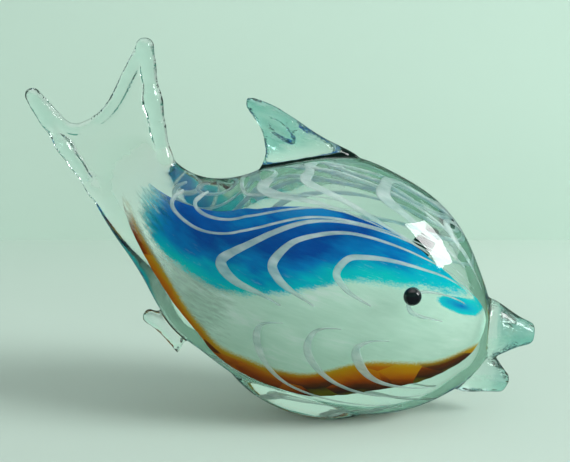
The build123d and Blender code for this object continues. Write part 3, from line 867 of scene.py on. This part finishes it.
def coated_core(along_count=300, around=160):
    """The core's egg. Its vertices carry their place in the flow of the glass, and how deep in
    the blue and in the amber they lie: heights over the coats' edges, or the lens of blue, a
    cone that falls from its middle as the distance in half sizes grows."""
    shape = closed_tube(egg_rings(CORE, CORE_SIZE, along_count, around))
    piece = glass_piece("coated_core", shape, core_material())
    points = shape[0]
    place, up = to_spine(*to_side_view(points))
    along = place * SPINE_LENGTH
    ahead = along - LENS_ALONG
    apart = np.hypot(ahead / LENS_HALF_LONG, (up - LENS_UP - LENS_SLOPE * ahead) / LENS_HALF_TALL)
    lens = LENS_STEEPNESS * LENS_HALF_TALL * (1 - apart)
    give_attribute(piece, "blue_depth", np.maximum(height_over(BLUE_EDGE, along, up), lens))
    give_attribute(piece, "amber_depth", -height_over(AMBER_EDGE, along, up))
    give_attribute(piece, "flow", np.stack([along, up, points[:, 1]], -1))
    return piece


core = coated_core()
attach(core, "root")
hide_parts("milky_core", "blue_back", "amber_belly")

# The combed threads: full width, half thickness, how far outside the gather their middle lies,
# the least share of the full width, and half the width of their ends
THREAD_WIDTH = 3.6
THREAD_HALF_THICK = 0.35
THREAD_PROUD = 0.2
THREAD_LEAST_SHARE = 0.06
THREAD_END_HALF = 0.05
# Routes on the left flank: distance along the spine, degrees up from the widest line,
# share of the full width
FLANK_ROUTES = [
    [(85, -5, 0.15), (93, -3.5, 0.45), (100, -3.5, 0.7), (106, -1.5, 0.95), (110.3, 5, 1.15),
     (107, 15, 0.8), (99, 28, 0.6), (91, 37.5, 0.5), (82, 44, 0.35), (68, 48.5, 0.22),
     (48, 51, 0.14), (30, 53, 0.10), (20, 55, 0.06)],
    [(74, 1, 0.12), (81, 3.5, 0.4), (87, 6, 0.7), (91, 10, 0.9), (92.8, 15, 0.95), (91, 23, 0.75),
     (87.5, 30, 0.55), (81, 36, 0.45), (72, 41.5, 0.35), (61, 44, 0.3), (50, 45.3, 0.2),
     (36, 47, 0.12), (20, 50, 0.08)],
    [(55, 10.5, 0.1), (61, 12, 0.3), (65.5, 14, 0.5), (69, 17, 0.65), (70.8, 21, 0.75),
     (69, 28, 0.65), (65, 31.5, 0.55), (58, 34.5, 0.45), (49, 37.3, 0.35), (40, 40, 0.25),
     (31, 43.5, 0.16), (20, 47, 0.1)],
    [(139, 60, 0.35), (140, 42, 0.5), (138.5, 27, 0.45), (133, 21, 0.35), (126, 20, 0.3),
     (119, 22.5, 0.26), (109, 28.5, 0.26), (99, 36, 0.26), (90, 42.5, 0.26), (80, 47, 0.26),
     (66, 50, 0.2), (50, 52.5, 0.12), (30, 56, 0.08)],
    [(129, 75, 0.25), (131.5, 57, 0.5), (131, 45, 0.45), (126, 38, 0.4), (117, 37.7, 0.3),
     (108, 41, 0.26), (98, 46, 0.24), (87, 51, 0.24), (76, 55, 0.2), (60, 58, 0.12),
     (36, 61, 0.08)],
    [(82, -13, 0.08), (87.5, -17, 0.25), (89.5, -22, 0.6), (88.5, -29, 0.8), (85, -37, 0.7),
     (80, -44, 0.6), (72, -50, 0.45), (62, -52.5, 0.35), (46, -54, 0.2), (30, -56, 0.1)],
    [(62, -5, 0.08), (68.5, -8, 0.25), (71.3, -14, 0.6), (70.3, -22, 0.8), (65, -30, 0.7),
     (56, -37, 0.5), (46, -41, 0.35), (34, -44, 0.2), (20, -48, 0.1)],
    [(44, -4, 0.08), (50, -6.5, 0.25), (54, -11.5, 0.6), (52.5, -18, 1.0), (47, -26, 0.8),
     (40, -31, 0.5), (32, -34, 0.3), (22, -38, 0.15)],
    [(28, 16, 0.1), (36, 14, 0.3), (41, 15, 0.45), (42.5, 20, 0.45), (40, 26, 0.35),
     (33, 31, 0.22), (22, 36, 0.1)],
]
# Over the back, on both sides of the ridge
BACK_ROUTES = [
    [(60, 52, 0.1), (76, 54, 0.3), (88, 56, 0.6), (97, 59, 1.0), (103, 66, 1.5), (103, 76, 1.0),
     (100, 90, 0.5), (103, 104, 0.8), (100, 120, 0.6), (85, 126, 0.3), (60, 130, 0.1)],
    [(74, 60, 0.1), (92, 60, 0.2), (106, 62, 0.4), (112, 72, 0.6), (113.5, 90, 0.6),
     (111, 108, 0.5), (100, 114, 0.3), (76, 118, 0.1)],
    [(40, 50, 0.1), (52, 52, 0.3), (63, 55, 0.5), (74, 60, 0.7), (84, 66, 0.9), (90, 74, 1.2),
     (89, 84, 1.0), (88.5, 98, 1.1), (84, 114, 0.9), (72, 122, 0.5), (50, 128, 0.2)],
    [(26, 62, 0.15), (38, 62, 0.4), (48, 65, 0.7), (57, 70, 1.1), (63, 77, 1.6), (63, 90, 1.2),
     (62, 104, 1.2), (55, 114, 0.7), (40, 120, 0.3), (28, 124, 0.1)],
    [(16, 70, 0.1), (25, 72, 0.3), (34, 78, 0.6), (38, 90, 0.8), (34, 102, 0.6), (25, 108, 0.3),
     (16, 112, 0.1)],
    [(22, 74, 0.1), (40, 80, 0.3), (56, 83, 0.3), (72, 86, 0.3), (86, 92, 0.4), (96, 100, 0.4),
     (84, 108, 0.3), (60, 110, 0.2), (30, 110, 0.1)],
]
# Under the belly, on both sides of its lowest line
BELLY_ROUTES = [
    [(70, -62, 0.2), (84, -66, 0.5), (95, -74, 0.9), (98, -90, 1.0), (95, -106, 0.9),
     (84, -114, 0.5), (70, -118, 0.2)],
    [(48, -62, 0.2), (60, -66, 0.5), (72, -74, 0.9), (75, -90, 1.0), (72, -106, 0.9),
     (60, -114, 0.5), (48, -118, 0.2)],
    [(28, -60, 0.2), (40, -64, 0.5), (50, -73, 0.8), (54, -90, 0.9), (50, -107, 0.8),
     (40, -116, 0.5), (28, -120, 0.2)],
]


def drawn_thread(route, side, steps=24, around=12):
    """A flat oval band along a spline through the route's points, on the gather's surface, as
    wide as the shares say. Side -1 mirrors it to the right flank."""
    route = np.array(route, float)
    knots = np.arange(len(route))
    t = np.linspace(0, len(route) - 1, steps * len(route))
    place, angle, share = (natural_spline(knots, route[:, n], t) for n in range(3))
    place = place / SPINE_LENGTH
    angle = np.radians(angle if side > 0 else 180 - angle)
    centre = egg_point(GATHER, GATHER_SIZE, place, angle, THREAD_PROUD)
    outward = egg_point(GATHER, GATHER_SIZE, place, angle, THREAD_PROUD + 1) - centre
    half = THREAD_WIDTH / 2 * np.maximum(share, THREAD_LEAST_SHARE)
    half[0] = half[-1] = THREAD_END_HALF
    across = np.cross(np.gradient(centre, axis=0), outward)
    across /= np.linalg.norm(across, axis=1, keepdims=True)
    thick = np.minimum(half, THREAD_HALF_THICK)
    return closed_tube(oval_rings(centre, half[:, None] * across, thick[:, None] * outward, around))


white_thread = thread_material()
for name, routes, sides in (
    ("flank_threads", FLANK_ROUTES, (-1, 1)),
    ("back_threads", BACK_ROUTES, (-1,)),
    ("belly_threads", BELLY_ROUTES, (-1,)),
):
    shapes = [drawn_thread(route, side) for side in sides for route in routes]
    threads = glass_piece("drawn_" + name, together(shapes), white_thread)
    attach(threads, "root")
    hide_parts(name)

# The eyes: from which share of its radius outwards a bead is pressed, and how much of what
# stood out past that is left
BEAD_PRESSED_FROM = 0.75
BEAD_PRESSED_TO = 0.7


def bead(low, high, rings=48, around=64):
    """A bead that slumped a little as it melted on: a sphere in the middle of a box. Where it
    faces out of the body, what stands past a share of the radius is pressed flatter."""
    middle, radius = (low + high) / 2, (high[0] - low[0]) / 2
    t = (np.arange(rings)[:, None] + 0.5) / rings * np.pi
    angle = whole_turn(around)
    out = np.cos(t)
    pressed = BEAD_PRESSED_FROM + (out - BEAD_PRESSED_FROM) * BEAD_PRESSED_TO
    out = np.where(out > BEAD_PRESSED_FROM, pressed, out) * np.sign(middle[1])
    x, z = np.sin(t) * np.cos(angle), np.sin(t) * np.sin(angle)
    sphere = np.stack(np.broadcast_arrays(x, out, z), -1)
    return closed_tube(sphere * radius + middle)


bead_black = eye_material()
for name in ("right_eye", "left_eye"):
    low, high = np.array(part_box(name)) / MM
    eye = glass_piece("bead_" + name, bead(low, high), bead_black)
    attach(eye, "root")
    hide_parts(name)

# The studio, in metres: half the table's side, and the wall's distance, ends and height
TABLE_HALF = 1.6
WALL_BEHIND, WALL_LEFT, WALL_RIGHT, WALL_HEIGHT = 0.272, -0.30, 0.26, 0.24
TABLE_COLOUR, WALL_COLOUR = (184, 204, 193), (181, 205, 192)
# How much lighter and darker the cloudy tone of both gets
TONE_STEP = 3
# Both as the glass mirrors them, and the room that the camera sees past them
MIRRORED_COLOUR = (70, 84, 84)
CAMERA_COLOUR = (196, 222, 209)


def rectangle(left, right, low, high):
    """Its four corners in order."""
    return (left, low), (right, low), (right, high), (left, high)


def stage_sheet(name, corners, colour, one_sided):
    """A flat matt sheet, darker where the glass mirrors it. A one-sided one can't be seen from
    behind."""
    material, nodes = new_material(name)
    place = nodes.add("ShaderNodeTexCoord").outputs["Object"]
    lighter, darker = (linear(*(c + step for c in colour)) for step in (TONE_STEP, -TONE_STEP))
    cloud = grain(nodes, place, stretch=(3, 3, 3), detail=1.0)
    tone = nodes.ramp(cloud, [(0.3, darker), (0.7, lighter)])
    path = nodes.add("ShaderNodeLightPath").outputs
    mirrored = nodes.math("SUBTRACT", path["Is Glossy Ray"], path["Is Transmission Ray"], clamp=True)
    nodes.feed_named("Principled BSDF", {
        "Base Color": nodes.blend(mirrored, tone, linear(*MIRRORED_COLOUR)),
        "Roughness": 0.9,
        "Specular IOR Level": 0.1,
    })
    if one_sided:
        front = nodes.tree.nodes["Principled BSDF"].outputs[0]
        behind = nodes.add("ShaderNodeNewGeometry").outputs["Backfacing"]
        clear = nodes.add("ShaderNodeBsdfTransparent").outputs[0]
        mix = nodes.add("ShaderNodeMixShader", {0: behind, 1: front, 2: clear})
        nodes.feed_named("Material Output", {"Surface": mix.outputs[0]})
    mesh = bpy.data.meshes.new(name)
    mesh.from_pydata(corners, [], [(0, 1, 2, 3)])
    mesh.materials.append(material)
    sheet = add_object(name, mesh)


stage_sheet(
    "table",
    [(x, y, 0) for x, y in rectangle(-TABLE_HALF, TABLE_HALF, -TABLE_HALF, TABLE_HALF)],
    TABLE_COLOUR,
    False,
)
stage_sheet(
    "wall",
    [(x, WALL_BEHIND, z) for x, z in rectangle(WALL_LEFT, WALL_RIGHT, 0, WALL_HEIGHT)],
    WALL_COLOUR,
    True,
)

# Light from the room, and the room as clear glass mirrors and bends it, by the height of the
# direction: 0 straight down, 0.5 level, 1 straight up
ROOM_LIGHT = [(0.45, grey(1.12)), (0.70, grey(1.06)), (0.85, grey(0.42)), (1.0, grey(0.25))]
ROOM_IN_GLASS = [
    (0.45, (0.06, 0.20, 0.15, 1)), (0.60, (0.10, 0.30, 0.23, 1)), (0.84, (0.11, 0.32, 0.25, 1)),
    (0.93, (0.8, 0.86, 0.84, 1)), (1.0, (1.1, 1.14, 1.12, 1))]


def room_light():
    """The room round the table: an even white light on matt things. Clear glass mirrors and
    bends a dim room with a bright ceiling, and the camera itself sees a pale wall."""
    world = bpy.data.worlds.new("room")
    world.use_nodes = True
    bpy.context.scene.world = world
    nodes = Nodes(world.node_tree)
    direction = nodes.add("ShaderNodeTexCoord").outputs["Generated"]
    axes = nodes.add("ShaderNodeSeparateXYZ", {0: direction}).outputs
    height = nodes.math("MULTIPLY_ADD", axes["Z"], 0.5, 0.5)
    path = nodes.add("ShaderNodeLightPath").outputs
    in_glass = nodes.math("SUBTRACT", path["Is Glossy Ray"], path["Diffuse Depth"], clamp=True)
    room = nodes.blend(in_glass, nodes.ramp(height, ROOM_LIGHT), nodes.ramp(height, ROOM_IN_GLASS))
    colour = nodes.blend(path["Is Camera Ray"], room, linear(*CAMERA_COLOUR))
    nodes.feed_named("Background", {"Color": colour})


# Soft lamps: name, place, aim, size and power. The window is brighter in its middle
LAMP_SPREAD = math.radians(120)
WINDOW_PLACE, WINDOW_AIM = (2.03, -0.62, 1.11), (0.03, 0, 0.07)
LAMPS = [
    ("window", WINDOW_PLACE, WINDOW_AIM, (0.94, 1.10), 20.0),
    ("window middle", WINDOW_PLACE, WINDOW_AIM, (0.52, 0.68), 9.0),
    ("side window", (1.5, 0.40, 0.80), (0, 0, 0.05), (1.0, 0.8), 2.0),
    ("ceiling", (0.15, -0.25, 1.1), (0, 0, 0.06), (0.8, 0.8), 0.4),
]


def lamp(name, place, aim, size, power):
    """A rectangular soft light at a place, turned to an aim."""
    data = bpy.data.lights.new(name, "AREA")
    data.shape = "RECTANGLE"
    data.size, data.size_y = size
    data.energy = power
    data.spread = LAMP_SPREAD
    light = add_object(name, data)
    light.location = place
    light.rotation_euler = (Vector(aim) - Vector(place)).to_track_quat("-Z", "Y").to_euler()


room_light()
for values in LAMPS:
    lamp(*values)

# The camera looks along +Y and down, at a point in the middle plane
AIM = np.array([-18.2, 0.0, 73.6]) * MM
ELEVATION = math.radians(14.0)
CAMERA_DISTANCE = 0.45
camera_data = bpy.data.cameras.new("camera")
camera_data.lens = 75.0
camera_data.sensor_width = 36.0
camera = add_object("camera", camera_data)
camera.location = AIM - CAMERA_DISTANCE * np.array([0, math.cos(ELEVATION), -math.sin(ELEVATION)])
camera.rotation_euler = (math.pi / 2 - ELEVATION, 0, 0)
bpy.context.scene.camera = camera
bpy.context.scene.view_settings.view_transform = "Standard"
